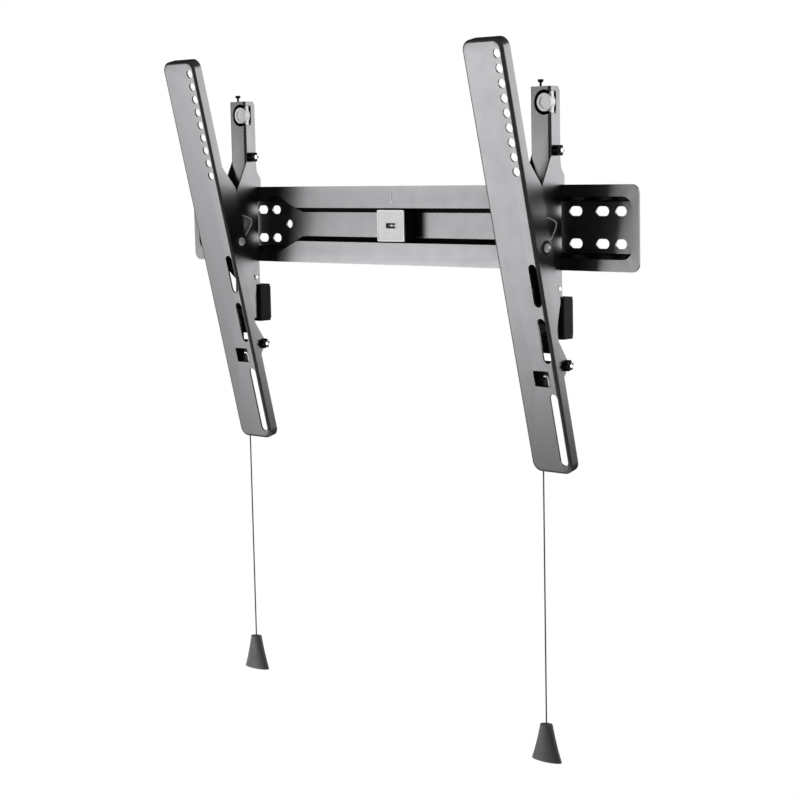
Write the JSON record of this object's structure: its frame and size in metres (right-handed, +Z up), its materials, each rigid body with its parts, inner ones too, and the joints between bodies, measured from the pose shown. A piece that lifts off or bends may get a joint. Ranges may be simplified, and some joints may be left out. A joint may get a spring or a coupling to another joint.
{
  "type": "tv mount",
  "caption": "Tilting wall mount for a flat television: wall plate with spirit level, two sliding brackets, tilting arms and pull cords that release them",
  "frame": {"origin": "middle of the wall plate on the wall's surface", "axes": "X to the right as seen from the room, Y towards the wall, Z up"},
  "size_m": [0.677, 0.1195, 0.7699],
  "materials": {
    "black_steel": "black satin powder coat",
    "dull_black_steel": "dull black dip coat",
    "zinc_steel": "bright zinc plating",
    "nylon_white": "natural white nylon",
    "black_plastic": "fine matt black",
    "grip_plastic": "matt dark grey",
    "cord_braid": "dark grey braided cord",
    "level_plastic": "pale grey plastic",
    "vial_green": "clear green",
    "magnet": "nickel plated",
    "pad_rubber": "matt black"
  },
  "bodies": {
    "plate": {"wall_plate": "black_steel", "level_body": "black_plastic", "level_face": "level_plastic", "level_vial": "vial_green", "level_magnet_left": "magnet", "level_magnet_right": "magnet"},
    "left_bracket": {"left_hook_bracket": "black_steel", "left_pivot_pin": "zinc_steel", "left_pivot_sleeve": "zinc_steel", "left_pivot_spacer": "black_plastic", "left_levelling_nut": "nylon_white", "left_upper_knob_nut": "zinc_steel", "left_guide_rivet_upper": "zinc_steel", "left_guide_rivet_lower": "zinc_steel", "left_latch_spring": "zinc_steel", "left_spring_post": "zinc_steel", "left_cross_pin": "zinc_steel", "left_wall_bumper": "black_plastic", "left_bumper_pad": "pad_rubber"},
    "left_arm_body": {"left_arm": "black_steel", "left_lower_knob_nut": "zinc_steel"},
    "left_latch": {"left_latch_slide": "dull_black_steel", "left_cord_ferrule": "zinc_steel", "left_cord": "cord_braid", "left_cord_knot": "cord_braid", "left_pull_grip": "grip_plastic"},
    "left_upper_knob_body": {"left_upper_knob": "black_plastic", "left_upper_knob_stud": "zinc_steel"},
    "left_lower_knob_body": {"left_lower_knob": "black_plastic", "left_lower_knob_stud": "zinc_steel"},
    "left_levelling_screw_body": {"left_levelling_screw": "black_plastic"},
    "right_bracket": {"right_hook_bracket": "black_steel", "right_pivot_pin": "zinc_steel", "right_pivot_sleeve": "zinc_steel", "right_pivot_spacer": "black_plastic", "right_levelling_nut": "nylon_white", "right_upper_knob_nut": "zinc_steel", "right_guide_rivet_upper": "zinc_steel", "right_guide_rivet_lower": "zinc_steel", "right_latch_spring": "zinc_steel", "right_spring_post": "zinc_steel", "right_cross_pin": "zinc_steel", "right_wall_bumper": "black_plastic", "right_bumper_pad": "pad_rubber"},
    "right_arm_body": {"right_arm": "black_steel", "right_lower_knob_nut": "zinc_steel"},
    "right_latch": {"right_latch_slide": "dull_black_steel", "right_cord_ferrule": "zinc_steel", "right_cord": "cord_braid", "right_cord_knot": "cord_braid", "right_pull_grip": "grip_plastic"},
    "right_upper_knob_body": {"right_upper_knob": "black_plastic", "right_upper_knob_stud": "zinc_steel"},
    "right_lower_knob_body": {"right_lower_knob": "black_plastic", "right_lower_knob_stud": "zinc_steel"},
    "right_levelling_screw_body": {"right_levelling_screw": "black_plastic"}
  },
  "joints": [
    {"name": "left_bracket_slide", "type": "slide", "parent": "plate", "child": "left_bracket", "axis": [1, 0, 0], "range_m": [-0.07, 0.125]},
    {"name": "left_arm_tilt", "type": "hinge", "parent": "left_bracket", "child": "left_arm_body", "pos_m": [-0.235, -0.052, -0.019], "axis": [1, 0, 0], "range_deg": [-13.4, 0]},
    {"name": "left_latch_pull", "type": "slide", "parent": "left_bracket", "child": "left_latch", "axis": [0, 0, -1], "range_m": [0, 0.009], "stiffness_N_per_m": 800, "springref_m": -0.012, "deforming": ["left_latch_spring"]},
    {"name": "left_upper_knob_turn", "type": "hinge", "parent": "left_bracket", "child": "left_upper_knob_body", "pos_m": [-0.21775, -0.0235, 0.0795], "axis": [1, 0, 0], "range_deg": [-720, 0]},
    {"name": "left_lower_knob_turn", "type": "hinge", "parent": "left_arm_body", "child": "left_lower_knob_body", "pos_m": [-0.208, -0.02159, -0.14231], "axis": [1, 0, 0], "range_deg": [-720, 0]},
    {"name": "left_levelling_screw_turn", "type": "hinge", "parent": "left_bracket", "child": "left_levelling_screw_body", "pos_m": [-0.2368, -0.0277, 0.147], "axis": [0, 0, 1], "range_deg": [-720, 720]},
    {"name": "right_bracket_slide", "type": "slide", "parent": "plate", "child": "right_bracket", "axis": [1, 0, 0], "range_m": [-0.125, 0.07]},
    {"name": "right_arm_tilt", "type": "hinge", "parent": "right_bracket", "child": "right_arm_body", "pos_m": [0.227, -0.052, -0.019], "axis": [1, 0, 0], "range_deg": [-13.4, 0]},
    {"name": "right_latch_pull", "type": "slide", "parent": "right_bracket", "child": "right_latch", "axis": [0, 0, -1], "range_m": [0, 0.009], "stiffness_N_per_m": 800, "springref_m": -0.012, "deforming": ["right_latch_spring"]},
    {"name": "right_upper_knob_turn", "type": "hinge", "parent": "right_bracket", "child": "right_upper_knob_body", "pos_m": [0.24425, -0.0235, 0.0795], "axis": [1, 0, 0], "range_deg": [-720, 0]},
    {"name": "right_lower_knob_turn", "type": "hinge", "parent": "right_arm_body", "child": "right_lower_knob_body", "pos_m": [0.254, -0.02159, -0.14231], "axis": [1, 0, 0], "range_deg": [-720, 0]},
    {"name": "right_levelling_screw_turn", "type": "hinge", "parent": "right_bracket", "child": "right_levelling_screw_body", "pos_m": [0.2252, -0.0277, 0.147], "axis": [0, 0, 1], "range_deg": [-720, 720]}
  ]
}
